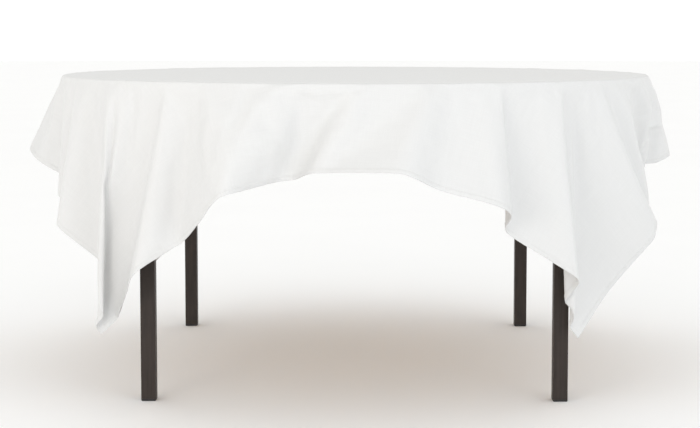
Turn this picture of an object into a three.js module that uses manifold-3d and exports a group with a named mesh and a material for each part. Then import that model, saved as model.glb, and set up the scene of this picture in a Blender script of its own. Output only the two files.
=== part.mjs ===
// A square tablecloth draped over a round table on four square steel legs.
// Millimetres, +Z up. The origin is on the floor under the middle of the table, and -Y is the front.
// Azimuths are in degrees from the front, growing towards +X.
import * as THREE from 'three';
import { mergeVertices } from 'three/addons/utils/BufferGeometryUtils.js';
import Module from 'manifold-3d';

// ---- Table, overall ----
const TABLE_DIAMETER = 1524;
const TABLE_HEIGHT = 762;
const FACES_ROUND = 96;
const JOINT_GAP = 0.3;

// ---- Top: a plywood disc with a plastic edge band barbed into a groove ----
const PANEL_THICKNESS = 19;
const BAND_THICKNESS = 3;
const BAND_CORNER = 2;
const BARB_DEPTH = 8;
const BARB_HEIGHT = 2;

// ---- Legs: square tube, set in from the rim at their outer corners ----
const LEG_WIDTH = 35;
const LEG_WALL = 1.5;
const LEG_CORNER_RADIUS = 2.5;
const LEG_INSET = 46;

// ---- Aprons: rectangular tube between the legs ----
const RAIL_HEIGHT = 50;
const RAIL_WIDTH = 25;
const RAIL_WALL = 1.5;
const RAIL_CORNER_RADIUS = 2.5;

// ---- Corner gussets, three screws each ----
const GUSSET_THICKNESS = 5;
const GUSSET_LEG = 150;
const GUSSET_SCREW_MARGIN = 26;
const SCREW_SHANK_RADIUS = 2.4;
const SCREW_HEAD_RADIUS = 4.75;
const SCREW_HEAD_HEIGHT = 3;
const SCREW_BITE = 13;
const SCREW_TIP = 3;
const SCREW_CLEARANCE = 0.35;
const DRIVE_SLOT_LENGTH = 5;
const DRIVE_SLOT_WIDTH = 1.1;
const DRIVE_SLOT_DEPTH = 1.6;

// ---- Glides: a foot flange with a hollow plug inside the leg ----
const GLIDE_FLANGE = 5;
const GLIDE_CHAMFER = 1.2;
const GLIDE_PLUG_DEPTH = 24;
const GLIDE_PLUG_WALL = 2;

// ---- Cloth: a flat square, hung over the rim ----
const CLOTH_SIDE = 1940;
const CLOTH_THICKNESS = 1.2;
const RIM_STEPS = 3;
const DROP_STEPS = 7;

// Each ridge: azimuth, half-width in degrees, and how far it stands out for each unit of drop.
const RIDGES = [
  { at: -90, half: 27, out: 0.42 },
  { at: -61, half: 8, out: 0.26 },
  { at: -47, half: 5, out: 0.08 },
  { at: -36, half: 6, out: 0.18 },
  { at: -20, half: 8, out: 0.42 },
  { at: -3, half: 6, out: 0.16 },
  { at: 8, half: 7, out: 0.36 },
  { at: 22, half: 7, out: 0.3 },
  { at: 37, half: 6, out: 0.14 },
  { at: 57, half: 8, out: 0.24 },
  { at: 91, half: 27, out: 0.4 },
  { at: 119.5, half: 10, out: 0.34 },
  { at: 135, half: 6, out: 0.16 },
  { at: 150, half: 7, out: 0.26 },
  { at: 169.5, half: 10, out: 0.4 },
  { at: 192, half: 10, out: 0.38 },
  { at: 210, half: 7, out: 0.26 },
  { at: 225, half: 6, out: 0.18 },
  { at: 240.5, half: 10, out: 0.34 },
];

// ---- Places worked out from the sizes ----
const RIM_RADIUS = TABLE_DIAMETER / 2;
const PANEL_RADIUS = RIM_RADIUS - BAND_THICKNESS - JOINT_GAP;
const PANEL_BOTTOM = TABLE_HEIGHT - PANEL_THICKNESS;
const FRAME_TOP = PANEL_BOTTOM - JOINT_GAP;
const LEG_CENTRE = (RIM_RADIUS - LEG_INSET) / Math.SQRT2 - LEG_WIDTH / 2;
const RAIL_LENGTH = 2 * (LEG_CENTRE - LEG_WIDTH / 2 - JOINT_GAP);
const GUSSET_EDGE = LEG_CENTRE - RAIL_WIDTH / 2 - JOINT_GAP;
const GUSSET_NOTCH = LEG_CENTRE - LEG_WIDTH / 2 - JOINT_GAP;
const SCREW_HOLE_RADIUS = SCREW_SHANK_RADIUS + SCREW_CLEARANCE;
const TURN = 2 * Math.PI;

const wasm = await Module();
wasm.setup();

function solidFrom(geometry) {
  const bare = geometry.index ? geometry.toNonIndexed() : geometry.clone();
  bare.deleteAttribute('normal');
  bare.deleteAttribute('uv');
  const merged = mergeVertices(bare, 1e-4);
  return new wasm.Manifold(new wasm.Mesh({
    numProp: 3,
    vertProperties: merged.attributes.position.array,
    triVerts: new Uint32Array(merged.index.array),
  }));
}

function geometryFrom(solid) {
  const { vertProperties, triVerts } = solid.getMesh();
  const geometry = new THREE.BufferGeometry();
  geometry.setAttribute('position', new THREE.BufferAttribute(vertProperties, 3));
  geometry.setIndex(new THREE.BufferAttribute(triVerts, 1));
  return geometry;
}

function subtractAll(geometry, cutters) {
  return geometryFrom(cutters.reduce(
    (solid, cutter) => solid.subtract(solidFrom(cutter)),
    solidFrom(geometry),
  ));
}

// Turns a closed profile of [radius, height] points about the Z axis.
function revolve(profile, faces) {
  const points = [...profile, profile[0]].map(([r, z]) => new THREE.Vector2(r, z));
  return new THREE.LatheGeometry(points, faces).rotateX(Math.PI / 2);
}

function roundedRectangle(path, width, height, radius) {
  const x = width / 2;
  const y = height / 2;
  path.moveTo(-x + radius, -y);
  path.lineTo(x - radius, -y);
  path.absarc(x - radius, -y + radius, radius, -Math.PI / 2, 0);
  path.lineTo(x, y - radius);
  path.absarc(x - radius, y - radius, radius, 0, Math.PI / 2);
  path.lineTo(-x + radius, y);
  path.absarc(-x + radius, y - radius, radius, Math.PI / 2, Math.PI);
  path.lineTo(-x, -y + radius);
  path.absarc(-x + radius, -y + radius, radius, Math.PI, 1.5 * Math.PI);
  return path;
}

// A rectangular tube, open at both ends, standing on Z = 0.
function tube(width, height, wall, radius, length) {
  const section = roundedRectangle(new THREE.Shape(), width, height, radius);
  const bore = roundedRectangle(
    new THREE.Path(), width - 2 * wall, height - 2 * wall, Math.max(radius - wall, 0.5),
  );
  section.holes.push(bore);
  return new THREE.ExtrudeGeometry(section, { depth: length, bevelEnabled: false, curveSegments: 3 });
}

function peg(radius, bottom, top) {
  return new THREE.CylinderGeometry(radius, radius, top - bottom, 12)
    .rotateX(Math.PI / 2)
    .translate(0, 0, (bottom + top) / 2);
}

// ---- Finishes ----
const clothWhite = new THREE.MeshStandardMaterial({ color: 0xf2f2f0, roughness: 0.9, metalness: 0 });
const plywood = new THREE.MeshStandardMaterial({ color: 0xb98a5a, roughness: 0.6, metalness: 0 });
const bandBrown = new THREE.MeshStandardMaterial({ color: 0x3a2f29, roughness: 0.5, metalness: 0 });
const bronzePaint = new THREE.MeshStandardMaterial({ color: 0x4b4440, roughness: 0.45, metalness: 0.3 });
const blackPlastic = new THREE.MeshStandardMaterial({ color: 0x141312, roughness: 0.6, metalness: 0 });
const zincSteel = new THREE.MeshStandardMaterial({ color: 0xa9abad, roughness: 0.35, metalness: 1 });

const table = new THREE.Group();

function addPiece(name, geometry, material, parent = table) {
  const piece = new THREE.Mesh(geometry, material);
  piece.name = name;
  parent.add(piece);
  return piece;
}

// ---- Corners, in the order the legs stand round the table ----
const CORNERS = [
  { name: 'front_left', x: -1, y: -1 },
  { name: 'front_right', x: 1, y: -1 },
  { name: 'back_right', x: 1, y: 1 },
  { name: 'back_left', x: -1, y: 1 },
];

// Screw places on one gusset, measured in from the corner of the frame.
const SCREW_PLACES = [
  [GUSSET_EDGE - GUSSET_LEG + 2 * GUSSET_SCREW_MARGIN, GUSSET_EDGE - GUSSET_SCREW_MARGIN / 2],
  [GUSSET_NOTCH - GUSSET_SCREW_MARGIN, GUSSET_NOTCH - GUSSET_SCREW_MARGIN],
  [GUSSET_EDGE - GUSSET_SCREW_MARGIN / 2, GUSSET_EDGE - GUSSET_LEG + 2 * GUSSET_SCREW_MARGIN],
];

// ---- Table top ----
function tabletopPanel() {
  const middle = TABLE_HEIGHT - PANEL_THICKNESS / 2;
  const grooveDepth = BARB_DEPTH + JOINT_GAP;
  const grooveHalf = BARB_HEIGHT / 2 + JOINT_GAP;
  const disc = revolve([
    [0, PANEL_BOTTOM],
    [PANEL_RADIUS, PANEL_BOTTOM],
    [PANEL_RADIUS, middle - grooveHalf],
    [PANEL_RADIUS - grooveDepth, middle - grooveHalf],
    [PANEL_RADIUS - grooveDepth, middle + grooveHalf],
    [PANEL_RADIUS, middle + grooveHalf],
    [PANEL_RADIUS, TABLE_HEIGHT],
    [0, TABLE_HEIGHT],
  ], FACES_ROUND);
  const pilotTop = PANEL_BOTTOM + SCREW_BITE + JOINT_GAP;
  const pilots = CORNERS.flatMap((corner) => SCREW_PLACES.map(([x, y]) => (
    peg(SCREW_HOLE_RADIUS, PANEL_BOTTOM - 1, pilotTop).translate(corner.x * x, corner.y * y, 0)
  )));
  return subtractAll(disc, pilots);
}

function edgeBand() {
  const inner = RIM_RADIUS - BAND_THICKNESS;
  const middle = TABLE_HEIGHT - PANEL_THICKNESS / 2;
  return revolve([
    [inner, PANEL_BOTTOM],
    [RIM_RADIUS - BAND_CORNER, PANEL_BOTTOM],
    [RIM_RADIUS, PANEL_BOTTOM + BAND_CORNER],
    [RIM_RADIUS, TABLE_HEIGHT - BAND_CORNER],
    [RIM_RADIUS - BAND_CORNER, TABLE_HEIGHT],
    [inner, TABLE_HEIGHT],
    [inner, middle + BARB_HEIGHT / 2],
    [inner - BARB_DEPTH, middle + BARB_HEIGHT / 2],
    [inner - BARB_DEPTH, middle - BARB_HEIGHT / 2],
    [inner, middle - BARB_HEIGHT / 2],
  ], FACES_ROUND);
}

addPiece('tabletop_panel', tabletopPanel(), plywood);
addPiece('tabletop_edge_band', edgeBand(), bandBrown);

// ---- Apron rails: long axis laid along X, then turned to each side ----
function apronRail() {
  const rail = tube(RAIL_HEIGHT, RAIL_WIDTH, RAIL_WALL, RAIL_CORNER_RADIUS, RAIL_LENGTH);
  return rail.translate(0, 0, -RAIL_LENGTH / 2).rotateY(Math.PI / 2);
}

const SIDES = [
  { name: 'front', turn: 0 },
  { name: 'right', turn: 1 },
  { name: 'back', turn: 2 },
  { name: 'left', turn: 3 },
];

for (const side of SIDES) {
  const turned = new THREE.Group();
  turned.rotation.z = (side.turn * TURN) / 4;
  const rail = addPiece(`apron_${side.name}`, apronRail(), bronzePaint, turned);
  rail.position.set(0, -LEG_CENTRE, FRAME_TOP - RAIL_HEIGHT / 2);
  table.add(turned);
}

// ---- Glides ----
function glide() {
  const flange = new THREE.ExtrudeGeometry(
    roundedRectangle(
      new THREE.Shape(), LEG_WIDTH - 2 * GLIDE_CHAMFER, LEG_WIDTH - 2 * GLIDE_CHAMFER, LEG_CORNER_RADIUS,
    ),
    {
      depth: GLIDE_FLANGE - GLIDE_CHAMFER,
      bevelThickness: GLIDE_CHAMFER,
      bevelSize: GLIDE_CHAMFER,
      bevelSegments: 1,
      curveSegments: 3,
    },
  ).translate(0, 0, GLIDE_CHAMFER);
  // The bevel above the flange is cut off, so the leg stands on a full flat face.
  const over = new THREE.BoxGeometry(2 * LEG_WIDTH, 2 * LEG_WIDTH, 2 * GLIDE_FLANGE)
    .translate(0, 0, 2 * GLIDE_FLANGE);
  const plugWidth = LEG_WIDTH - 2 * LEG_WALL - 2 * JOINT_GAP;
  const plug = tube(plugWidth, plugWidth, GLIDE_PLUG_WALL, LEG_CORNER_RADIUS, GLIDE_PLUG_DEPTH + 1)
    .translate(0, 0, GLIDE_FLANGE - 1);
  const foot = solidFrom(flange).subtract(solidFrom(over));
  return geometryFrom(foot.add(solidFrom(plug)));
}

// ---- Gussets, drawn for the corner at +X +Y ----
function gusset() {
  const far = GUSSET_EDGE - GUSSET_LEG;
  const outline = new THREE.Shape([
    new THREE.Vector2(GUSSET_EDGE, far),
    new THREE.Vector2(GUSSET_EDGE, GUSSET_NOTCH),
    new THREE.Vector2(GUSSET_NOTCH, GUSSET_NOTCH),
    new THREE.Vector2(GUSSET_NOTCH, GUSSET_EDGE),
    new THREE.Vector2(far, GUSSET_EDGE),
  ]);
  for (const [x, y] of SCREW_PLACES) {
    outline.holes.push(new THREE.Path().absarc(x, y, SCREW_HOLE_RADIUS, 0, TURN));
  }
  return new THREE.ExtrudeGeometry(outline, {
    depth: GUSSET_THICKNESS, bevelEnabled: false, curveSegments: 12,
  }).translate(0, 0, FRAME_TOP - GUSSET_THICKNESS);
}

// ---- Screws: the head bears on the gusset, and the tip bites into the panel ----
function topScrew() {
  const under = FRAME_TOP - GUSSET_THICKNESS - JOINT_GAP;
  const tip = PANEL_BOTTOM + SCREW_BITE;
  const body = revolve([
    [0, under - SCREW_HEAD_HEIGHT],
    [SCREW_HEAD_RADIUS * 0.7, under - SCREW_HEAD_HEIGHT],
    [SCREW_HEAD_RADIUS, under - SCREW_HEAD_HEIGHT * 0.4],
    [SCREW_HEAD_RADIUS, under],
    [SCREW_SHANK_RADIUS, under],
    [SCREW_SHANK_RADIUS, tip - SCREW_TIP],
    [0, tip],
  ], 12);
  const slotMiddle = under - SCREW_HEAD_HEIGHT + DRIVE_SLOT_DEPTH / 2 - 0.5;
  const slots = [0, TURN / 4].map((angle) => (
    new THREE.BoxGeometry(DRIVE_SLOT_LENGTH, DRIVE_SLOT_WIDTH, DRIVE_SLOT_DEPTH + 1)
      .rotateZ(angle)
      .translate(0, 0, slotMiddle)
  ));
  return subtractAll(body, slots);
}

const legGeometry = tube(
  LEG_WIDTH, LEG_WIDTH, LEG_WALL, LEG_CORNER_RADIUS, FRAME_TOP - GLIDE_FLANGE - JOINT_GAP,
);
const glideGeometry = glide();
const screwGeometry = topScrew();

CORNERS.forEach((corner, turn) => {
  const leg = addPiece(`leg_${corner.name}`, legGeometry, bronzePaint);
  leg.position.set(corner.x * LEG_CENTRE, corner.y * LEG_CENTRE, GLIDE_FLANGE + JOINT_GAP);

  const foot = addPiece(`glide_${corner.name}`, glideGeometry, blackPlastic);
  foot.position.set(corner.x * LEG_CENTRE, corner.y * LEG_CENTRE, 0);

  const turned = new THREE.Group();
  turned.rotation.z = ((turn + 2) * TURN) / 4;
  addPiece(`gusset_${corner.name}`, gusset(), bronzePaint, turned);
  table.add(turned);

  SCREW_PLACES.forEach(([x, y], index) => {
    const screw = addPiece(`top_screw_${corner.name}_${index + 1}`, screwGeometry, zincSteel);
    screw.position.set(corner.x * x, corner.y * y, 0);
  });
});

// ---- Tablecloth ----
// Sum of the ridges at one azimuth: how far the cloth stands out for each unit of drop.
function standOut(azimuth) {
  return RIDGES.reduce((sum, ridge) => {
    const away = Math.abs(((azimuth - ridge.at + 540) % 360) - 180) / ridge.half;
    return sum + (away < 1 ? ridge.out * Math.cos((away * Math.PI) / 2) ** 2 : 0);
  }, 0);
}

// The run of the cloth from the middle to its hem along one azimuth, as [radius, height] pairs,
// held "lift" outside the table's own surface.
function clothRun(azimuth, lift) {
  const angle = (azimuth * Math.PI) / 180;
  const reach = CLOTH_SIDE / 2 / Math.max(Math.abs(Math.sin(angle)), Math.abs(Math.cos(angle)));
  const drop = reach - RIM_RADIUS - (Math.PI / 2 - 1) * BAND_CORNER;
  const lean = standOut(azimuth);
  const run = [[RIM_RADIUS / 2, TABLE_HEIGHT + lift]];
  for (let step = 0; step <= RIM_STEPS; step += 1) {
    const turn = ((step / RIM_STEPS) * Math.PI) / 2;
    run.push([
      RIM_RADIUS - BAND_CORNER + (BAND_CORNER + lift) * Math.sin(turn),
      TABLE_HEIGHT - BAND_CORNER + (BAND_CORNER + lift) * Math.cos(turn),
    ]);
  }
  for (let step = 1; step <= DROP_STEPS; step += 1) {
    const along = (step / DROP_STEPS) * drop;
    const out = along * lean;
    const down = Math.sqrt(along ** 2 - out ** 2);
    const fall = Math.min(down, TABLE_HEIGHT - BAND_CORNER - lift);
    run.push([RIM_RADIUS + lift + out + (down - fall), TABLE_HEIGHT - BAND_CORNER - fall]);
  }
  return run;
}

function tablecloth() {
  const points = [];
  const faces = [];
  const sheets = [JOINT_GAP + CLOTH_THICKNESS, JOINT_GAP].map((lift) => {
    const middle = points.push([0, 0, TABLE_HEIGHT + lift]) - 1;
    const runs = Array.from({ length: FACES_ROUND }, (_, index) => {
      const azimuth = (index * 360) / FACES_ROUND;
      const angle = (azimuth * Math.PI) / 180;
      return clothRun(azimuth, lift).map(([radius, height]) => (
        points.push([radius * Math.sin(angle), -radius * Math.cos(angle), height]) - 1
      ));
    });
    return { middle, runs };
  });
  const [outer, inner] = sheets;
  const quad = (a, b, c, d) => faces.push([a, b, c], [a, c, d]);
  for (let index = 0; index < FACES_ROUND; index += 1) {
    const next = (index + 1) % FACES_ROUND;
    const [out, outNext] = [outer.runs[index], outer.runs[next]];
    const [into, intoNext] = [inner.runs[index], inner.runs[next]];
    faces.push([outer.middle, out[0], outNext[0]], [inner.middle, intoNext[0], into[0]]);
    for (let step = 1; step < out.length; step += 1) {
      quad(out[step - 1], out[step], outNext[step], outNext[step - 1]);
      quad(into[step - 1], intoNext[step - 1], intoNext[step], into[step]);
    }
    quad(out.at(-1), into.at(-1), intoNext.at(-1), outNext.at(-1));
  }
  const geometry = new THREE.BufferGeometry();
  geometry.setAttribute('position', new THREE.Float32BufferAttribute(points.flat(), 3));
  geometry.setIndex(faces.flat());
  return geometry;
}

addPiece('tablecloth', tablecloth(), clothWhite);

export default table;
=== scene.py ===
# %% [markdown]
# # A square tablecloth on a round table
# A round banquet table stands on four square steel legs. A square white polyester cloth lies over it
# and hangs in folds to a point at each corner.
# The hard parts come from CAD as a fixed frame, in metres, with +Z up and -Y at the front. Here they get
# their finishes, and the cloth, its hem and its stitches are made new.
# A cloth can be modelled by hand, but its folds only look right when the cut keeps its real size. So the
# flat square is hung by simulation, from a start that already has the folds in their places.

# %% Load the frame
import math
import bpy
import numpy as np
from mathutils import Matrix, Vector


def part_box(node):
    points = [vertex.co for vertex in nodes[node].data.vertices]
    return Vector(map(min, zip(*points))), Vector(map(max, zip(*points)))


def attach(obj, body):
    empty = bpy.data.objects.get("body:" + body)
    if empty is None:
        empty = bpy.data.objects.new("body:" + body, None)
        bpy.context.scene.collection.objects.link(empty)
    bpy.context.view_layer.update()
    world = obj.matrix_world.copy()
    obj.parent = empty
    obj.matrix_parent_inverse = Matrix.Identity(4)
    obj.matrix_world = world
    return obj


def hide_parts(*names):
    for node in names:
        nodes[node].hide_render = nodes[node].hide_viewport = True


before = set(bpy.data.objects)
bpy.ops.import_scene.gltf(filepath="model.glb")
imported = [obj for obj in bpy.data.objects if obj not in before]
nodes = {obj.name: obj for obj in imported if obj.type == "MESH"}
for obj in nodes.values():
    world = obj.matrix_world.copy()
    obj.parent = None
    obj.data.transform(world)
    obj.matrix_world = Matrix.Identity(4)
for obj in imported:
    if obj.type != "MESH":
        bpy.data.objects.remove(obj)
scene = bpy.context.scene
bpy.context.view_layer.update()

# %% [markdown]
# ## Camera
# The table is seen from the front, a little above the height of its top, so that the round top shows as
# a thin ellipse and the back legs show below the hem. A long lens keeps the legs upright. The place of
# the camera is worked out once from the rim and the four feet, and is given here in metres and degrees.

# %% Camera
CAMERA_TILT = 4.59
CAMERA_TURN = 0.42
camera = bpy.data.objects.new("camera", bpy.data.cameras.new("camera"))
scene.collection.objects.link(camera)
camera.location = (0.018, -4.32, 0.886)
camera.rotation_euler = (math.radians(90 - CAMERA_TILT), 0, math.radians(CAMERA_TURN))
camera.data.sensor_width = 36
camera.data.lens = 83.9
camera.data.shift_y = -0.08
scene.camera = camera
print("camera", tuple(round(value, 3) for value in camera.location), "lens", round(camera.data.lens, 1))

# %% [markdown]
# ## Colours and nodes
# Paint and cloth colours are easy to read as sRGB hex values, but a shader works in linear light, so one
# function turns one into the other. A second small function adds a node, sets it and links it. A number
# in a plain socket stays a number, and an output of another node becomes a link.

# %% Helpers for materials
def linear(hex_colour):
    """The linear RGBA of an sRGB hex colour."""
    channels = [int(hex_colour[i:i + 2], 16) / 255 for i in (1, 3, 5)]
    return [c / 12.92 if c <= 0.04045 else ((c + 0.055) / 1.055) ** 2.4 for c in channels] + [1.0]


def add_node(tree, kind, inputs=None, **settings):
    """Adds a node with its settings. inputs maps a socket's name or number to a value or an output."""
    node = tree.nodes.new(kind)
    for name, value in settings.items():
        setattr(node, name, value)
    for name, value in (inputs or {}).items():
        if isinstance(value, bpy.types.NodeSocket):
            tree.links.new(value, node.inputs[name])
        else:
            node.inputs[name].default_value = value
    return node


def new_material(name):
    """An empty node material with its output, and the tree to build it in."""
    material = bpy.data.materials.new(name)
    material.use_nodes = True
    tree = material.node_tree
    tree.nodes.clear()
    return material, tree


def finish_material(tree, shader):
    """Joins the shader to the material's output."""
    output = add_node(tree, "ShaderNodeOutputMaterial")
    tree.links.new(shader.outputs[0], output.inputs["Surface"])


MIX_A, MIX_B = 6, 7
MIX_RESULT = 2

# %% [markdown]
# ## Powder-coated steel
# The legs, aprons and gussets are welded square tube with a baked powder coat in dark bronze. Powder is
# sprayed on dry and melts in an oven, so it flows into a skin with a faint orange peel, about 2 mm from
# bump to bump, and it looks satin, never like bare metal. It is therefore a dielectric, with no metallic,
# and its flatting pigment takes most of the mirror shine away, so its specular level is low.
# The bronze is uneven along each tube, in long soft streaks a few millimetres wide. Noise that is
# stretched along the height draws them, and finer noise gives the peel.

# %% Dark bronze powder coat
bronze, tree = new_material("powder_coated_steel_dark_bronze")
place = add_node(tree, "ShaderNodeTexCoord").outputs["Object"]
upright = add_node(tree, "ShaderNodeMapping", {"Vector": place, "Scale": (1.0, 1.0, 0.07)})
streaks = add_node(tree, "ShaderNodeTexNoise", {
    "Vector": upright.outputs[0], "Scale": 1 / 0.007, "Detail": 3.0, "Roughness": 0.6})
clouds = add_node(tree, "ShaderNodeTexNoise", {"Vector": place, "Scale": 1 / 0.12, "Detail": 2.0})
streak_range = add_node(tree, "ShaderNodeMapRange", {
    "Value": streaks.outputs["Fac"], "From Min": 0.32, "From Max": 0.7})
streaked = add_node(tree, "ShaderNodeMix", {
    0: streak_range.outputs[0], MIX_A: linear("#2A2521"), MIX_B: linear("#413935")}, data_type="RGBA")
clouded = add_node(tree, "ShaderNodeMix", {
    0: clouds.outputs["Fac"], MIX_A: streaked.outputs[MIX_RESULT], MIX_B: linear("#352E2A")},
    data_type="RGBA")
peel = add_node(tree, "ShaderNodeTexNoise", {"Vector": place, "Scale": 1 / 0.002, "Detail": 1.0})
peel_bump = add_node(tree, "ShaderNodeBump", {
    "Height": peel.outputs["Fac"], "Strength": 0.25, "Distance": 0.0002})
gloss = add_node(tree, "ShaderNodeMapRange", {
    "Value": streaks.outputs["Fac"], "To Min": 0.42, "To Max": 0.58})
shader = add_node(tree, "ShaderNodeBsdfPrincipled", {
    "Base Color": clouded.outputs[MIX_RESULT], "Roughness": gloss.outputs[0], "IOR": 1.5,
    "Specular IOR Level": 0.2, "Normal": peel_bump.outputs[0]})
finish_material(tree, shader)
print("made", bronze.name)

# %% [markdown]
# ## Varnished birch plywood
# The top is a 19 mm plywood disc with a clear varnish. Its face is one peeled sheet of birch, so its
# grain is wide and wavy, with soft bands 15 to 40 mm apart and fine pores along the grain. Bands are a
# wave texture that noise bends, and pores are noise stretched along X.

# %% Plywood
plywood, tree = new_material("birch_plywood_varnished")
place = add_node(tree, "ShaderNodeTexCoord").outputs["Object"]
along = add_node(tree, "ShaderNodeMapping", {"Vector": place, "Scale": (0.12, 1.0, 1.0)})
figure = add_node(tree, "ShaderNodeTexWave", {
    "Vector": along.outputs[0], "Scale": 9.0, "Distortion": 9.0, "Detail": 2.0, "Detail Scale": 0.7},
    bands_direction="Y")
pore_place = add_node(tree, "ShaderNodeMapping", {"Vector": place, "Scale": (0.05, 1.0, 1.0)})
pores = add_node(tree, "ShaderNodeTexNoise", {
    "Vector": pore_place.outputs[0], "Scale": 1 / 0.0012, "Detail": 2.0})
pore_range = add_node(tree, "ShaderNodeMapRange", {
    "Value": pores.outputs["Fac"], "From Min": 0.3, "From Max": 0.5, "To Min": 0.35, "To Max": 0.0})
grain = add_node(tree, "ShaderNodeMix", {
    0: figure.outputs["Fac"], MIX_A: linear("#D9B98A"), MIX_B: linear("#C59A63")}, data_type="RGBA")
wood = add_node(tree, "ShaderNodeMix", {
    0: pore_range.outputs[0], MIX_A: grain.outputs[MIX_RESULT], MIX_B: linear("#8A6238")},
    data_type="RGBA")
pore_bump = add_node(tree, "ShaderNodeBump", {
    "Height": pores.outputs["Fac"], "Strength": 0.15, "Distance": 0.0003})
shader = add_node(tree, "ShaderNodeBsdfPrincipled", {
    "Base Color": wood.outputs[MIX_RESULT], "Roughness": 0.38, "IOR": 1.5, "Coat Weight": 0.3,
    "Coat Roughness": 0.25, "Normal": pore_bump.outputs[0]})
finish_material(tree, shader)
print("made", plywood.name)

# %% [markdown]
# ## Extruded PVC edge band
# A T-moulding of brown PVC is hammered into a groove round the disc. It is extruded through a die, so
# its gloss is low and even, its colour has little depth, and faint lines run along it. Lines along a
# ring are lines of equal height here.

# %% PVC edge band
band_brown, tree = new_material("extruded_pvc_brown")
place = add_node(tree, "ShaderNodeTexCoord").outputs["Object"]
drawn = add_node(tree, "ShaderNodeMapping", {"Vector": place, "Scale": (0.02, 0.02, 1.0)})
die_lines = add_node(tree, "ShaderNodeTexNoise", {"Vector": drawn.outputs[0], "Scale": 1 / 0.0012})
tone = add_node(tree, "ShaderNodeMix", {
    0: die_lines.outputs["Fac"], MIX_A: linear("#4A3323"), MIX_B: linear("#5B4130")}, data_type="RGBA")
line_bump = add_node(tree, "ShaderNodeBump", {
    "Height": die_lines.outputs["Fac"], "Strength": 0.2, "Distance": 0.0002})
shader = add_node(tree, "ShaderNodeBsdfPrincipled", {
    "Base Color": tone.outputs[MIX_RESULT], "Roughness": 0.46, "IOR": 1.53,
    "Normal": line_bump.outputs[0]})
finish_material(tree, shader)
print("made", band_brown.name)

# %% [markdown]
# ## Moulded polyethylene glides
# Each foot is a black polyethylene glide pushed into the tube. It is injection moulded against a
# spark-eroded tool, which leaves a fine matt grain of about 0.6 mm, and polyethylene is a little waxy.
# Dust and floor rub lighten it in small patches.

# %% Black polyethylene
glide_black, tree = new_material("moulded_polyethylene_black")
place = add_node(tree, "ShaderNodeTexCoord").outputs["Object"]
tool_grain = add_node(tree, "ShaderNodeTexNoise", {"Vector": place, "Scale": 1 / 0.0006})
scuffs = add_node(tree, "ShaderNodeTexNoise", {"Vector": place, "Scale": 1 / 0.009, "Detail": 4.0})
scuff_range = add_node(tree, "ShaderNodeMapRange", {
    "Value": scuffs.outputs["Fac"], "From Min": 0.5, "From Max": 0.72})
rubbed = add_node(tree, "ShaderNodeMix", {
    0: scuff_range.outputs[0], MIX_A: linear("#151515"), MIX_B: linear("#2A2928")}, data_type="RGBA")
grain_bump = add_node(tree, "ShaderNodeBump", {
    "Height": tool_grain.outputs["Fac"], "Strength": 0.3, "Distance": 0.0001})
shader = add_node(tree, "ShaderNodeBsdfPrincipled", {
    "Base Color": rubbed.outputs[MIX_RESULT], "Roughness": 0.55, "IOR": 1.51,
    "Normal": grain_bump.outputs[0]})
finish_material(tree, shader)
print("made", glide_black.name)

# %% [markdown]
# ## Zinc-plated screws
# The pan-head screws are cold-headed steel with a thin bright zinc plate. Zinc is a metal, so it keeps
# the default index of refraction and shows its colour in its reflections. Handling leaves it cloudy.

# %% Bright zinc
zinc, tree = new_material("zinc_plated_steel")
place = add_node(tree, "ShaderNodeTexCoord").outputs["Object"]
haze = add_node(tree, "ShaderNodeTexNoise", {"Vector": place, "Scale": 1 / 0.004, "Detail": 3.0})
haze_tone = add_node(tree, "ShaderNodeMix", {
    0: haze.outputs["Fac"], MIX_A: linear("#A9ACB0"), MIX_B: linear("#C9CACB")}, data_type="RGBA")
haze_gloss = add_node(tree, "ShaderNodeMapRange", {
    "Value": haze.outputs["Fac"], "To Min": 0.25, "To Max": 0.45})
shader = add_node(tree, "ShaderNodeBsdfPrincipled", {
    "Base Color": haze_tone.outputs[MIX_RESULT], "Metallic": 1.0, "Roughness": haze_gloss.outputs[0]})
finish_material(tree, shader)
print("made", zinc.name)

# %% [markdown]
# ## Finishes on the CAD parts
# The record gives each CAD node a slot, and the start of a node's name says what it is made of. Every
# slot of a node's object takes the finish, and the mesh itself is left alone.

# %% Put the finishes on
FINISH_OF = {
    "tabletop_panel": plywood,
    "tabletop_edge_band": band_brown,
    "leg": bronze,
    "apron": bronze,
    "gusset": bronze,
    "glide": glide_black,
    "top_screw": zinc,
}
for name, node in nodes.items():
    for start, material in FINISH_OF.items():
        if name.startswith(start):
            node.data.materials.clear()
            node.data.materials.append(material)
print("finished", sum(1 for node in nodes.values() if node.data.materials), "nodes")

# %% [markdown]
# ## The flat cut
# The cloth is a square of 1.94 m. It is described in polar form, because the table is round: an azimuth,
# counted in degrees from the front towards +X, and a distance from the middle. Points stand evenly round
# the hem, and each has a straight line to the middle. Rings across these lines lie on the table, close
# together where the cloth turns over the rim, then on the drop. The last two are the inner edge of the
# hem and the hem itself. The middle stays open for now, because a point where hundreds of lines meet
# makes a subdivision very slow.

# %% Grid on the flat square
CLOTH_SIDE = 1.94
HEM_WIDTH = 0.012
HEM_POINTS = 360
DROP_RINGS = 23
TOP_RINGS = (0.35, 0.75, 0.93, 0.975, 0.99, 0.9965)
RIM_RINGS = (0, 0.0025, 0.005)
RIM_ROUND = 0.010
TABLE_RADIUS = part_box("tabletop_edge_band")[1].x
TABLE_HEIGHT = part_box("tabletop_panel")[1].z


def square_hem(half, count):
    """Points evenly round a square of half side "half", from the middle of the front towards +X."""
    step = np.arange(count) / count * 8 * half + half
    side = (step // (2 * half)).astype(int) % 4
    along = step % (2 * half) - half
    across = np.array([[0, -1], [1, 0], [0, 1], [-1, 0]])[side]
    forward = np.array([[1, 0], [0, 1], [-1, 0], [0, -1]])[side]
    return across * half + forward * along[:, None]


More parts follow.
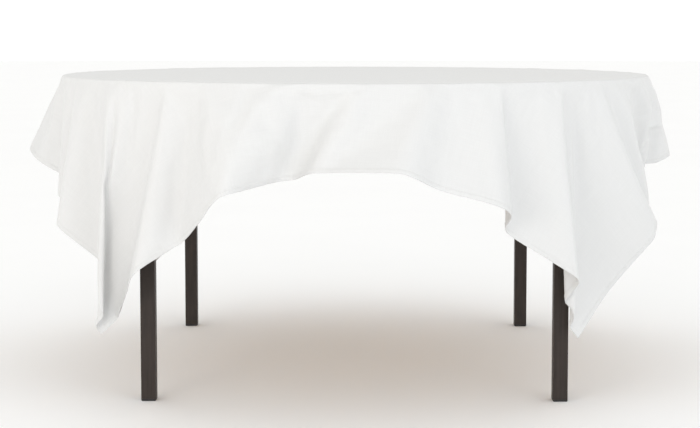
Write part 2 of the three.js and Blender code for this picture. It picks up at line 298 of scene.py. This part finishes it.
hem_flat = square_hem(CLOTH_SIDE / 2, HEM_POINTS)
hem_reach = np.hypot(*hem_flat.T)
azimuth = np.arctan2(hem_flat[:, 0], -hem_flat[:, 1])
ray = np.stack([np.sin(azimuth), -np.cos(azimuth)], axis=1)
stitch_reach = hem_reach * (1 - 2 * HEM_WIDTH / CLOTH_SIDE)
drop_start = TABLE_RADIUS + RIM_ROUND
drop_reach = [np.full(HEM_POINTS, TABLE_RADIUS + step) for step in RIM_RINGS]
drop_reach += [drop_start + (stitch_reach - drop_start) * step / DROP_RINGS
               for step in range(DROP_RINGS + 1)]
drop_reach.append(hem_reach)
reaches = [np.full(HEM_POINTS, TABLE_RADIUS * share) for share in TOP_RINGS] + drop_reach
flat = np.concatenate([ray * reach[:, None] for reach in reaches])
print("flat cut", CLOTH_SIDE, "m, hem", round(4 * CLOTH_SIDE, 2), "m,", len(flat), "points")

# %% [markdown]
# ## Where the folds fall
# Every cloth that is laid by hand hangs in its own folds. They are given as stations round the hem: the
# azimuth on the flat cut, how far the hem has turned from it, and how far the hem stands out from the
# rim, in metres. A big value of the last is the crest of a fold and a small or negative one its valley,
# and where the turn changes fast the hem doubles back. The cloth can't stretch, so a crest here has to
# be paid for by a turn beside it. A smooth curve through the stations gives every hem point its place.
# The stations began as rounded values of a least-squares fit of the hem line, made outside this script.
# Fewer than half of them were changed since.

# %% Stations of the hem
HEM_STATIONS = [
    # back, from its middle to the back left corner
    (-180, 0.2, 0.018), (-168, 0.5, 0.095), (-158, 1, 0.036), (-150, 3, 0.090), (-141, 3, -0.020),
    (-136, 2.8, 0.064), (-133, 4.4, 0.037), (-128.5, 5, -0.020), (-124, 2, 0.055),
    # left side
    (-119.5, -1, 0.115), (-114, -1.3, 0.040), (-109.5, -1.2, -0.012), (-103, -0.3, 0.045),
    (-97, 0.2, -0.010), (-91, 0, 0.062), (-84, 0, 0.089), (-78, 0.8, 0.060), (-74, 0.5, 0.020),
    (-71, 0.8, -0.018), (-67, 0.3, 0.036), (-63.5, 0.2, 0.006), (-59.5, -1.3, 0.074),
    (-56.5, -0.4, 0.020), (-53.7, -0.3, -0.017),
    # front left corner
    (-49, 1.2, 0.038), (-47.5, 0.2, 0.042), (-45, -4.6, 0.027), (-43, -4.5, 0.000),
    # front
    (-39.8, -2.6, 0.023), (-36.3, -1.4, 0.052), (-31, -0.6, -0.004), (-26, 0.6, 0.040),
    (-19.3, 0.1, 0.106), (-13, -2, 0.021), (-9.5, -1.9, -0.016), (-3.8, -2.6, 0.048),
    (2, -1.9, 0.072), (8.5, -1.2, 0.096), (14.5, -1, 0.057), (21.8, 0.8, 0.082), (24.6, 0.8, 0.058),
    (26.8, -1.4, 0.018), (28.4, -1.9, -0.006), (30.2, -0.9, -0.012), (33.7, 1.2, 0.007),
    (37.5, 2.7, 0.045), (39.3, 1.6, 0.0),
    # front right corner
    (42.5, 0.2, -0.016), (45, -0.6, -0.020), (49, 3.4, -0.009), (52.5, 4.8, 0.029),
    # right side
    (56.3, 4.8, 0.066), (61, 5.5, 0.040), (65.5, 3, -0.018), (70, 4, -0.018), (74.5, 0.5, -0.012),
    (78.5, -0.5, 0.026), (83, 0.2, 0.060), (89.5, 0, 0), (96, 0, 0.066), (103, 0, -0.012),
    (108.5, 1.2, 0.012), (114, 2, 0.050), (119.5, 2.1, 0.111),
    # back right corner and back
    (124, -1.2, 0.050), (128.3, -4.4, -0.020), (132, -3.9, 0.029), (136, -2, 0.065),
    (140.7, -3.3, -0.020), (145, -3.4, 0.039), (150.5, -3.1, 0.090), (159.5, -0.8, 0.030),
    (169.5, -0.6, 0.100), (176, -0.8, 0.045),
]


def round_curve(stations, column, at):
    """A smooth closed curve through one column of the stations, read at the azimuths "at", in degrees."""
    keys = np.array([station[0] for station in stations], float)
    values = np.array([station[column] for station in stations], float)
    keys = np.concatenate([keys - 360, keys, keys + 360])
    values = np.tile(values, 3)
    slopes = np.zeros(len(keys))
    slopes[1:-1] = (values[2:] - values[:-2]) / (keys[2:] - keys[:-2])
    left = np.searchsorted(keys, at, side="right") - 1
    span = keys[left + 1] - keys[left]
    t = (at - keys[left]) / span
    start, end = values[left], values[left + 1]
    leave, arrive = slopes[left] * span, slopes[left + 1] * span
    return ((2 * t**3 - 3 * t**2 + 1) * start + (t**3 - 2 * t**2 + t) * leave
            + (3 * t**2 - 2 * t**3) * end + (t**3 - t**2) * arrive)


turn = np.radians(round_curve(HEM_STATIONS, 1, np.degrees(azimuth)))
stand_out = round_curve(HEM_STATIONS, 2, np.degrees(azimuth))
print("hem stands out from", round(stand_out.min(), 3), "to", round(stand_out.max(), 3), "m")

# %% [markdown]
# ## Hang the flat square
# The start shape joins each rim point to its hem point by a curve that leaves the rim steeply outwards
# and then drops. Its height follows from the length of cloth that is left over after the sideways part,
# so each line is already as long as the flat one.
# A second shape of the same mesh is the flat square. The cloth solver takes its rest lengths from it.

# %% Start shape of the cloth
CLEARANCE = 0.0012
CLEAR_BY_SHARE = 0.125
LEAN_POWER = 1.25
SHORTEST_FALL = 0.01
rim = ray * TABLE_RADIUS
heading = azimuth + turn
hem_place = (TABLE_RADIUS + CLEARANCE + stand_out)[:, None] * np.stack(
    [np.sin(heading), -np.cos(heading)], axis=1)
sideways = np.linalg.norm(hem_place - rim, axis=1)
length = hem_reach - TABLE_RADIUS
fall = np.sqrt(np.maximum(length**2 - sideways**2, SHORTEST_FALL**2))
top_z = TABLE_HEIGHT + CLEARANCE
rings = [np.column_stack([ray * reach[:, None], np.full(HEM_POINTS, top_z)])
         for reach in reaches[:len(TOP_RINGS)]]
for reach in drop_reach:
    share = (reach - TABLE_RADIUS) / length
    lean = 1 - (1 - share) ** LEAN_POWER
    clear = CLEARANCE * np.minimum(1, share / CLEAR_BY_SHARE)
    level = rim + (hem_place - rim) * lean[:, None] + ray * clear[:, None]
    rings.append(np.column_stack([level, top_z - (fall + CLEARANCE) * share]))
hung = np.concatenate(rings)


def grid_point(ring, index):
    """The vertex number on a ring, where ring 0 is the innermost."""
    return ring * HEM_POINTS + index % HEM_POINTS


faces = []
for ring in range(len(rings) - 1):
    faces += [(grid_point(ring, i), grid_point(ring + 1, i), grid_point(ring + 1, i + 1),
               grid_point(ring, i + 1)) for i in range(HEM_POINTS)]
mesh = bpy.data.meshes.new("cloth_sheet")
mesh.from_pydata(hung.tolist(), [], faces)
cloth = bpy.data.objects.new("cloth_sheet", mesh)
scene.collection.objects.link(cloth)
print("start shape", len(hung), "vertices,", len(faces), "faces")

# %% [markdown]
# ## The flat cut as a UV map
# A weave follows its threads wherever the cloth goes, so the material needs to know where each point was
# on the flat cut. A UV map of the flat places, in metres, gives it that, and also the distance to the hem.

# %% UV map in metres
thread_map = mesh.uv_layers.new(name="flat_cut")
corner_vertex = np.empty(len(mesh.loops), dtype=np.int32)
mesh.loops.foreach_get("vertex_index", corner_vertex)
thread_map.data.foreach_set("uv", flat[corner_vertex].astype(np.float32).ravel())
print("UV map", thread_map.name, "over", len(corner_vertex), "face corners")

# %% [markdown]
# ## Cloth simulation
# The part on the table is held, as friction holds it. The hem is held only loosely, so the folds stay
# where they were laid while gravity shapes the cloth between rim and hem. The form under it is a disc
# with a skirt that tapers inwards, which stops the valleys where the legs are.
# Polyester doesn't stretch, so the tension is high for its mass, and it bends easily. The rest shape is
# only read if another modifier stands before the cloth, so an edge split that splits nothing does.

# %% Simulate
SIM_FRAMES = 25
HEM_HOLD = 0.45
FORM_SIDES = 256
FORM_MARGIN = 0.001
FORM_ROUND = 0.003
SKIRT_CUTS = (0.745, 0.72, 0.55)
SKIRT_TAPER = {0.72: 0.012, 0.55: 0.03, 0.0: 0.06}
SAME_HEIGHT = 0.001
CONTACT_GAP = 0.001
HELD_MARGIN = 0.006


def dress_form():
    """The solid that the cloth falls against: the top, with a skirt that tapers inwards below it."""
    bpy.ops.object.select_all(action="DESELECT")
    bpy.ops.mesh.primitive_cylinder_add(
        vertices=FORM_SIDES, radius=TABLE_RADIUS, depth=TABLE_HEIGHT - FORM_MARGIN,
        location=(0, 0, (TABLE_HEIGHT - FORM_MARGIN) / 2))
    form = bpy.context.object
    form.data.transform(form.matrix_world)
    form.matrix_world.identity()
    bpy.ops.object.mode_set(mode="EDIT")
    for height in SKIRT_CUTS:
        bpy.ops.mesh.select_all(action="SELECT")
        bpy.ops.mesh.bisect(plane_co=(0, 0, height), plane_no=(0, 0, 1))
    bpy.ops.object.mode_set(mode="OBJECT")
    for vertex in form.data.vertices:
        for height, inwards in SKIRT_TAPER.items():
            if abs(vertex.co.z - height) < SAME_HEIGHT:
                share = 1 - inwards / TABLE_RADIUS
                vertex.co.x *= share
                vertex.co.y *= share
    rim_bevel = form.modifiers.new("rim_bevel", "BEVEL")
    rim_bevel.width = FORM_ROUND
    rim_bevel.segments = 3
    bpy.ops.object.modifier_apply(modifier=rim_bevel.name)
    form.modifiers.new("form", "COLLISION")
    form.collision.thickness_outer = CONTACT_GAP
    form.collision.cloth_friction = 5
    return form


def hang(cloth):
    """Simulates the cloth from its start shape, with the flat cut as its rest shape."""
    cloth.shape_key_add(name="Hung")
    flat_key = cloth.shape_key_add(name="Flat", from_mix=False)
    flat_places = np.column_stack([flat, np.full(len(flat), top_z)])
    flat_key.data.foreach_set("co", flat_places.astype(np.float32).ravel())
    held = cloth.vertex_groups.new(name="held")
    on_table = np.nonzero(np.hypot(*flat.T) < TABLE_RADIUS - HELD_MARGIN)[0]
    held.add([int(i) for i in on_table], 1.0, "REPLACE")
    held.add([grid_point(len(rings) - 1, i) for i in range(HEM_POINTS)], HEM_HOLD, "REPLACE")
    keep_rest = cloth.modifiers.new("keep_rest", "EDGE_SPLIT")
    keep_rest.use_edge_angle = False
    keep_rest.use_edge_sharp = False
    solver = cloth.modifiers.new("fall", "CLOTH")
    polyester = solver.settings
    polyester.rest_shape_key = flat_key
    polyester.vertex_group_mass = held.name
    polyester.pin_stiffness = 1.0
    polyester.quality = 8
    polyester.mass = 0.05
    polyester.tension_stiffness = 60
    polyester.compression_stiffness = 60
    polyester.shear_stiffness = 24
    polyester.bending_stiffness = 1
    polyester.tension_damping = 10
    polyester.compression_damping = 10
    polyester.shear_damping = 10
    polyester.bending_damping = 1
    polyester.air_damping = 2
    solver.collision_settings.distance_min = CONTACT_GAP
    solver.collision_settings.collision_quality = 3
    solver.point_cache.frame_start = 1
    solver.point_cache.frame_end = SIM_FRAMES
    for step in range(1, SIM_FRAMES + 1):
        scene.frame_set(step)
    depsgraph = bpy.context.evaluated_depsgraph_get()
    fallen = bpy.data.meshes.new_from_object(cloth.evaluated_get(depsgraph))
    cloth.modifiers.clear()
    cloth.shape_key_clear()
    cloth.vertex_groups.clear()
    cloth.data = fallen


form = dress_form()
hang(cloth)
bpy.data.objects.remove(form)
scene.frame_set(1)
hanging = np.array([v.co for v in cloth.data.vertices])
print("cloth hangs from", np.round(hanging.min(0), 3), "to", np.round(hanging.max(0), 3))

# %% [markdown]
# ## Smooth the folds
# The solver's grid is about 20 mm, which shows as facets on a fold. One subdivision rounds them. It is
# applied, because the hem and its stitches are taken from the smooth surface. A crease on each of the
# four corners keeps them pointed. Then the middle, which lies flat on the table, is closed with one
# face, cut into a fan by a poke.

# %% Subdivide
def only_active(piece):
    """Selects one object, and makes it the active one."""
    bpy.ops.object.select_all(action="DESELECT")
    piece.select_set(True)
    bpy.context.view_layer.objects.active = piece


def nothing_selected(piece):
    """Deselects every vertex, edge and face of a piece."""
    only_active(piece)
    bpy.ops.object.mode_set(mode="EDIT")
    bpy.ops.mesh.select_all(action="DESELECT")
    bpy.ops.object.mode_set(mode="OBJECT")


middle_radius = TABLE_RADIUS * TOP_RINGS[0] + 0.001
only_active(cloth)
corner_crease = cloth.data.attributes.new("crease_vert", "FLOAT", "POINT")
for corner in range(HEM_POINTS // 8, HEM_POINTS, HEM_POINTS // 4):
    corner_crease.data[grid_point(len(rings) - 1, corner)].value = 1.0
smooth = cloth.modifiers.new("smooth", "SUBSURF")
smooth.levels = 1
smooth.render_levels = 1
smooth.uv_smooth = "NONE"
bpy.ops.object.modifier_apply(modifier=smooth.name)
mesh = cloth.data
nothing_selected(cloth)
for vertex in mesh.vertices:
    vertex.select = math.hypot(vertex.co.x, vertex.co.y) < middle_radius
bpy.ops.object.mode_set(mode="EDIT")
bpy.ops.mesh.select_mode(type="VERT")
bpy.ops.mesh.edge_face_add()
bpy.ops.mesh.poke()
bpy.ops.object.mode_set(mode="OBJECT")
places = np.array([v.co for v in mesh.vertices])
corner_vertex = np.empty(len(mesh.loops), dtype=np.int32)
mesh.loops.foreach_get("vertex_index", corner_vertex)
corner_uv = np.empty(len(mesh.loops) * 2, dtype=np.float32)
mesh.uv_layers["flat_cut"].data.foreach_get("uv", corner_uv)
flat_of = np.zeros((len(places), 2))
flat_of[corner_vertex] = corner_uv.reshape(-1, 2)
middle = np.hypot(*places[:, :2].T) < middle_radius
flat_of[middle] = places[middle, :2]
mesh.uv_layers["flat_cut"].data.foreach_set("uv", flat_of[corner_vertex].astype(np.float32).ravel())
to_hem = CLOTH_SIDE / 2 - np.abs(flat_of).max(axis=1)
print("smooth cloth", len(places), "vertices")

# %% [markdown]
# ## The hem
# The raw edge is folded over twice to the inside and sewn down, so the border is three layers thick,
# 12 mm wide, and ends in a rounded fold. It is a piece of its own here: the outermost strip of the
# smooth cloth is copied, gets the thickness of three layers round the cloth's single one, and its long
# edges are rounded like a fold.

# %% Hem
CLOTH_THICKNESS = 0.0008
HEM_THICKNESS = 0.0019
HEM_PROUD = 0.0002
FOLD_RADIUS = 0.0006
SAME_LINE = 0.0002

only_active(cloth)
bpy.ops.object.duplicate()
hem = bpy.context.object
hem.name = "cloth_hem"
hem.data.name = "cloth_hem"
nothing_selected(hem)
for polygon in hem.data.polygons:
    polygon.select = max(to_hem[i] for i in polygon.vertices) > HEM_WIDTH + SAME_LINE
bpy.ops.object.mode_set(mode="EDIT")
bpy.ops.mesh.select_mode(type="FACE")
bpy.ops.mesh.delete(type="FACE")
bpy.ops.object.mode_set(mode="OBJECT")
layers = hem.modifiers.new("layers", "SOLIDIFY")
layers.thickness = HEM_THICKNESS
layers.offset = -1 + 2 * HEM_PROUD / HEM_THICKNESS
bpy.ops.object.modifier_apply(modifier=layers.name)
fold = hem.modifiers.new("fold", "BEVEL")
fold.width = FOLD_RADIUS
fold.segments = 2
fold.limit_method = "ANGLE"
fold.angle_limit = math.radians(60)
bpy.ops.object.modifier_apply(modifier=fold.name)
bpy.ops.object.shade_smooth()
print("hem", len(hem.data.polygons), "faces")

# %% [markdown]
# ## The line of stitches
# A lockstitch holds the fold, 10 mm from the edge. Its thread lies on the face in short straight stitches
# with a small gap where it dives into the cloth, and the bobbin thread does the same inside. Real ones
# are about 3 mm long and 0.3 mm thick. They are drawn a little thicker, as thin thread would vanish.
# One stitch is modelled and copied along the line, turned to run with the hem.

# %% Places of the stitches
STITCH_PITCH = 0.004
STITCH_LENGTH = 0.0031
THREAD_THICKNESS = 0.00055
STITCH_INSET = 0.010
THREAD_SINK = 0.15
THREAD_END = 0.3


def hem_ring(distance):
    """Places and normals of the smooth cloth's vertices this far from the hem, in order round it."""
    found = np.nonzero(np.abs(to_hem - distance) < SAME_LINE)[0]
    found = found[np.argsort(np.arctan2(flat_of[found, 0], -flat_of[found, 1]))]
    normals = np.array([mesh.vertices[int(i)].normal for i in found])
    return places[found], normals


fold_line, fold_normals = hem_ring(HEM_WIDTH)
middle_line, middle_normals = hem_ring(HEM_WIDTH / 2)
share = (HEM_WIDTH - STITCH_INSET) / (HEM_WIDTH / 2)
seam = fold_line + (middle_line - fold_line) * share
seam_normals = fold_normals + (middle_normals - fold_normals) * share
closed = np.vstack([seam, seam[:1]])
closed_normals = np.vstack([seam_normals, seam_normals[:1]])
run = np.concatenate([[0], np.cumsum(np.linalg.norm(np.diff(closed, axis=0), axis=1))])
stitch_count = int(run[-1] / STITCH_PITCH)
stitch_run = (np.arange(stitch_count) + 0.5) * run[-1] / stitch_count
print("seam", round(run[-1], 3), "m with", stitch_count, "stitches")

# %% One stitch, then its copies
bpy.ops.object.select_all(action="DESELECT")
bpy.ops.mesh.primitive_cylinder_add(vertices=6, radius=THREAD_THICKNESS / 2, depth=STITCH_LENGTH)
stitch = bpy.context.object
dive = stitch.modifiers.new("dive", "BEVEL")
dive.width = THREAD_THICKNESS * THREAD_END
dive.segments = 1
dive.limit_method = "ANGLE"
dive.angle_limit = math.radians(75)
bpy.ops.object.modifier_apply(modifier=dive.name)
stitch_points = np.array([v.co for v in stitch.data.vertices])
stitch_faces = [list(polygon.vertices) for polygon in stitch.data.polygons]
bpy.data.objects.remove(stitch)


def sew(name, lift):
    """Copies the stitch along the seam, lifted off the middle of the cloth's outer face by "lift"."""
    def along(values, at):
        return np.stack([np.interp(at, run, values[:, axis]) for axis in range(3)], axis=1)

    centre = along(closed, stitch_run)
    ahead = along(closed, stitch_run + STITCH_LENGTH / 3) - along(closed, stitch_run - STITCH_LENGTH / 3)
    ahead /= np.linalg.norm(ahead, axis=1)[:, None]
    outward = along(closed_normals, stitch_run)
    outward -= ahead * np.sum(outward * ahead, axis=1)[:, None]
    outward /= np.linalg.norm(outward, axis=1)[:, None]
    aside = np.cross(outward, ahead)
    centre = centre + outward * lift
    points = (centre[:, None] + stitch_points[None, :, 0, None] * aside[:, None]
              + stitch_points[None, :, 1, None] * -outward[:, None]
              + stitch_points[None, :, 2, None] * ahead[:, None]).reshape(-1, 3)
    copies = [[vertex + count * len(stitch_points) for vertex in face]
              for count in range(stitch_count) for face in stitch_faces]
    sewn = bpy.data.meshes.new(name)
    sewn.from_pydata(points.tolist(), [], copies)
    seam_piece = bpy.data.objects.new(name, sewn)
    scene.collection.objects.link(seam_piece)
    only_active(seam_piece)
    bpy.ops.object.mode_set(mode="EDIT")
    bpy.ops.mesh.select_all(action="SELECT")
    bpy.ops.mesh.normals_make_consistent(inside=False)
    bpy.ops.object.mode_set(mode="OBJECT")
    bpy.ops.object.shade_smooth()
    return seam_piece


stitches_face = sew("hem_stitches_face", HEM_PROUD + THREAD_THICKNESS * THREAD_SINK)
stitches_back = sew("hem_stitches_back", HEM_PROUD - HEM_THICKNESS - THREAD_THICKNESS * THREAD_SINK)
print("sewn", stitches_face.name, "and", stitches_back.name, len(stitches_face.data.polygons), "faces each")

# %% [markdown]
# ## Thickness of the cloth
# A cloth has two faces and an edge, so the single surface gets its thickness last, towards the table.

# %% Cloth thickness
only_active(cloth)
thickness = cloth.modifiers.new("thickness", "SOLIDIFY")
thickness.thickness = CLOTH_THICKNESS
thickness.offset = -1
bpy.ops.object.modifier_apply(modifier=thickness.name)
bpy.ops.object.shade_smooth()
print("cloth", sum(len(p.vertices) - 2 for p in cloth.data.polygons), "triangles")

# %% [markdown]
# ## White polyester
# Table linen for hire is spun polyester in a plain weave, bleached white and calendered. It looks matt
# with a weak sheen at a grazing angle, because thousands of fibre ends catch the light. Its threads are
# about 0.35 mm apart, which no view of a whole table can show, so the weave is drawn at 1.4 mm.
# Over and under make a chequered relief, which is the product of two waves across the flat cut. The relief
# also sets the colour, as painted shade: thread crowns lighter, hollows darker. Slubs are thick places in a
# thread, so noise is stretched along each thread. Soft creases are left from folding.
# Near the seam the thread draws the cloth into small puckers, which a distance from the hem limits.

# %% Polyester for the cloth
THREAD_SPACING = 0.0014
SLUB_WIDTH = 0.0025
CREASE_SPACING = 0.11
PUCKER_SPACING = 0.010
PUCKER_REACH = 0.045


def weave(name, light, dark, puckers):
    """Plain-woven polyester between two colours, the weave's relief painted as shade between them. puckers
    is how strongly the seam draws the cloth in.
    """
    material, tree = new_material(name)
    cut = add_node(tree, "ShaderNodeUVMap", uv_map="flat_cut").outputs["UV"]
    split = add_node(tree, "ShaderNodeSeparateXYZ", {0: cut})
    waves = []
    for axis in ("X", "Y"):
        phase = add_node(tree, "ShaderNodeMath", {0: split.outputs[axis], 1: math.pi / THREAD_SPACING},
                         operation="MULTIPLY")
        waves.append(add_node(tree, "ShaderNodeMath", {0: phase.outputs[0]}, operation="SINE"))
    relief = add_node(tree, "ShaderNodeMath", {0: waves[0].outputs[0], 1: waves[1].outputs[0]},
                      operation="MULTIPLY")
    over = add_node(tree, "ShaderNodeMapRange", {
        "Value": relief.outputs[0], "From Min": -1.0, "From Max": 1.0})
    slubs = []
    for scale in ((0.03, 1.0, 1.0), (1.0, 0.03, 1.0)):
        stretch = add_node(tree, "ShaderNodeMapping", {"Vector": cut, "Scale": scale})
        slubs.append(add_node(tree, "ShaderNodeTexNoise", {
            "Vector": stretch.outputs[0], "Scale": 1 / SLUB_WIDTH, "Detail": 1.0}))
    slub = add_node(tree, "ShaderNodeMath", {0: slubs[0].outputs["Fac"], 1: slubs[1].outputs["Fac"]},
                    operation="MULTIPLY")
    relief_and_slubs = add_node(tree, "ShaderNodeMath", {0: slub.outputs[0], 1: over.outputs[0]},
                         operation="ADD")
    shade = add_node(tree, "ShaderNodeMapRange", {
        "Value": relief_and_slubs.outputs[0], "From Min": 0.0, "From Max": 1.4})
    # The colour follows the relief and the slubs: the relief as painted shade, lighter on the crowns,
    # darker in the hollows.
    colour = add_node(tree, "ShaderNodeMix", {
        0: shade.outputs[0], MIX_A: linear(dark), MIX_B: linear(light)}, data_type="RGBA")
    crease = add_node(tree, "ShaderNodeTexNoise", {
        "Vector": cut, "Scale": 1 / CREASE_SPACING, "Detail": 3.0, "Roughness": 0.45})
    crease_bump = add_node(tree, "ShaderNodeBump", {
        "Height": crease.outputs["Fac"], "Strength": 0.5, "Distance": 0.004})
    from_middle = [add_node(tree, "ShaderNodeMath", {0: split.outputs[axis]}, operation="ABSOLUTE")
                   for axis in ("X", "Y")]
    farthest = add_node(tree, "ShaderNodeMath", {
        0: from_middle[0].outputs[0], 1: from_middle[1].outputs[0]}, operation="MAXIMUM")
    near_seam = add_node(tree, "ShaderNodeMapRange", {
        "Value": farthest.outputs[0], "From Min": CLOTH_SIDE / 2 - PUCKER_REACH,
        "From Max": CLOTH_SIDE / 2 - STITCH_INSET, "To Max": puckers}, interpolation_type="SMOOTHSTEP")
    drawn_in = add_node(tree, "ShaderNodeTexNoise", {
        "Vector": cut, "Scale": 1 / PUCKER_SPACING, "Detail": 1.0})
    pucker = add_node(tree, "ShaderNodeMath", {0: drawn_in.outputs["Fac"], 1: near_seam.outputs[0]},
                      operation="MULTIPLY")
    pucker_bump = add_node(tree, "ShaderNodeBump", {
        "Height": pucker.outputs[0], "Strength": 0.6, "Distance": 0.0015,
        "Normal": crease_bump.outputs[0]})
    thread_bump = add_node(tree, "ShaderNodeBump", {
        "Height": relief_and_slubs.outputs[0], "Strength": 0.35, "Distance": 0.00025,
        "Normal": pucker_bump.outputs[0]})
    shader = add_node(tree, "ShaderNodeBsdfPrincipled", {
        "Base Color": colour.outputs[MIX_RESULT], "Roughness": 0.82, "IOR": 1.55,
        "Specular IOR Level": 0.3, "Sheen Weight": 0.12, "Sheen Roughness": 0.45,
        "Normal": thread_bump.outputs[0]})
    finish_material(tree, shader)
    return material


polyester_cloth = weave("woven_polyester_white", "#DDDDDC", "#D2D2D1", 0.35)
# The hem's darker hollows, #D1D1D0 against #D2D2D1, are painted shade, so the hem reads as a faint grey
# line.
polyester_hem = weave("woven_polyester_white_hem", "#DDDDDC", "#D1D1D0", 0.6)
for piece, material in ((cloth, polyester_cloth), (hem, polyester_hem)):
    piece.data.materials.clear()
    piece.data.materials.append(material)
print("made", polyester_cloth.name, "and", polyester_hem.name)

# %% [markdown]
# ## Sewing thread
# The seam is sewn with a twisted polyester thread in white. It is a little glossier than the cloth, and
# its twist is about 0.5 mm long, which is drawn as fine bands along the stitches: a bump, and painted shade
# that darkens the thread between its plies.

# %% Thread
thread, tree = new_material("twisted_polyester_thread_white")
place = add_node(tree, "ShaderNodeTexCoord").outputs["Object"]
twist = add_node(tree, "ShaderNodeTexNoise", {"Vector": place, "Scale": 1 / 0.0005, "Detail": 1.0})
# Painted shade: the thread is darker where the twist noise is low, between the plies, and lighter on them.
painted_twist_shade = add_node(tree, "ShaderNodeMix", {
    0: twist.outputs["Fac"], MIX_A: linear("#C9C9C6"), MIX_B: linear("#E3E3E0")}, data_type="RGBA")
ply_bump = add_node(tree, "ShaderNodeBump", {
    "Height": twist.outputs["Fac"], "Strength": 0.4, "Distance": 0.0001})
shader = add_node(tree, "ShaderNodeBsdfPrincipled", {
    "Base Color": painted_twist_shade.outputs[MIX_RESULT], "Roughness": 0.55, "IOR": 1.55, "Sheen Weight": 0.2,
    "Normal": ply_bump.outputs[0]})
finish_material(tree, shader)
for piece in (stitches_face, stitches_back):
    piece.data.materials.append(thread)
print("made", thread.name)

# %% [markdown]
# ## Floor and light
# The table stands on a plain pale floor in even studio light. The sky stands for the big white walls of
# a studio, darker towards the ceiling, so that the top of the cloth is quieter than its front. Two large
# soft boxes stand low beside the camera, the left one a little warm and the right one a little cool.
# They light the hanging folds almost from the front, so the folds show softly.

# %% Floor
FLOOR_RADIUS = 40
bpy.ops.object.select_all(action="DESELECT")
bpy.ops.mesh.primitive_circle_add(vertices=64, radius=FLOOR_RADIUS, fill_type="NGON")
floor = bpy.context.object
floor.name = "floor"
floor_paint, tree = new_material("matt_white_floor_paint")
place = add_node(tree, "ShaderNodeTexCoord").outputs["Object"]
roller = add_node(tree, "ShaderNodeTexNoise", {"Vector": place, "Scale": 1 / 0.8, "Detail": 2.0})
paint_tone = add_node(tree, "ShaderNodeMix", {
    0: roller.outputs["Fac"], MIX_A: linear("#FBFBFB"), MIX_B: linear("#FEFEFE")}, data_type="RGBA")
shader = add_node(tree, "ShaderNodeBsdfPrincipled", {
    "Base Color": paint_tone.outputs[MIX_RESULT], "Roughness": 0.9, "Specular IOR Level": 0.1})
finish_material(tree, shader)
floor.data.materials.append(floor_paint)

# %% Light
WALLS = "#FFFFFF"
CEILING = "#BFBFBD"
SKY_STRENGTH = 1.46
SOFT_BOX_SIZE = 1.8
AIM = (0, 0, 0.6)
world = bpy.data.worlds.new("studio")
world.use_nodes = True
tree = world.node_tree
background = tree.nodes["Background"]
direction = add_node(tree, "ShaderNodeTexCoord").outputs["Generated"]
height = add_node(tree, "ShaderNodeSeparateXYZ", {0: direction}).outputs["Z"]
room = add_node(tree, "ShaderNodeMix", {
    0: height, MIX_A: linear(WALLS), MIX_B: linear(CEILING)}, data_type="RGBA")
tree.links.new(room.outputs[MIX_RESULT], background.inputs["Color"])
background.inputs["Strength"].default_value = SKY_STRENGTH
scene.world = world


def soft_box(name, place, power, hex_colour):
    """A square area light that faces the middle of the cloth."""
    light = bpy.data.lights.new(name, "AREA")
    light.size = SOFT_BOX_SIZE
    light.energy = power
    light.color = linear(hex_colour)[:3]
    box = bpy.data.objects.new(name, light)
    scene.collection.objects.link(box)
    box.location = place
    box.rotation_euler = (Vector(AIM) - Vector(place)).to_track_quat("-Z", "Y").to_euler()


soft_box("soft_box_left", (-2.4, -4.4, 1.1), 35, "#FFF9F4")
soft_box("soft_box_right", (2.6, -4.2, 1.1), 24, "#E6F1FF")
scene.view_settings.view_transform = "Standard"
print("walls", WALLS, "ceiling", CEILING, "and two soft boxes")

# %% [markdown]
# ## Join the pieces to the frame
# The cloth, its hem and its stitches move with the body of the tablecloth, which lifts off the table, and
# stand for its CAD node.

# %% Ride and replace
for piece in (cloth, hem, stitches_face, stitches_back):
    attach(piece, "tablecloth")
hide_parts("tablecloth")
print("joined", cloth.name, "to the body of the tablecloth")
